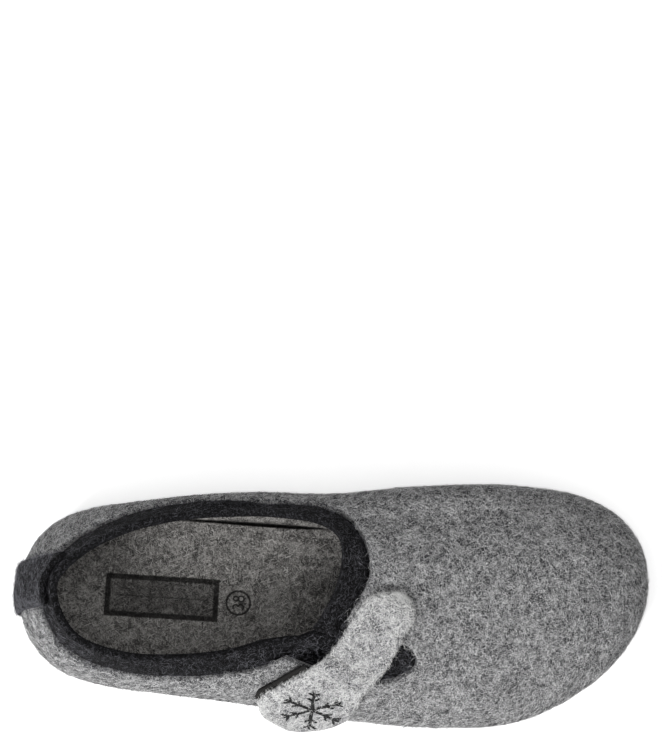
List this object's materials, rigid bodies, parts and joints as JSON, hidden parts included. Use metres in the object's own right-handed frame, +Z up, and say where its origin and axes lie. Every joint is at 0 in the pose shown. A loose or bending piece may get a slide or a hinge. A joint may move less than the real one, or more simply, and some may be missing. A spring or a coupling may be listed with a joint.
{
  "type": "house slipper",
  "caption": "Closed felt house slipper, right foot, with a raised felt collar, a side notch and a felt strap that ends in a round disc on the outer side.",
  "frame": {"origin": "on the floor, on the flat heel tread, 40 mm forward of the back of the heel on the shoe's long axis", "axes": "+X from heel to toe, +Y to the inner (medial) side of the foot, +Z up"},
  "size_m": [0.2601, 0.1022, 0.0691],
  "materials": {
    "rubber": "matt moulded rubber",
    "grey_felt": "thick milled wool felt, mottled grey",
    "insole_felt": "flat wool felt, brownish grey",
    "dark_felt": "wool felt, anthracite with pale fibres",
    "light_felt": "milled wool felt, mottled light grey",
    "nylon_tape": "woven nylon hook tape"
  },
  "bodies": {
    "root": {"outsole": "rubber", "upper": "grey_felt", "insole": "insole_felt", "collar": "dark_felt", "heel_tab": "dark_felt", "strap": "light_felt", "hook_tape": "nylon_tape"}
  },
  "joints": []
}
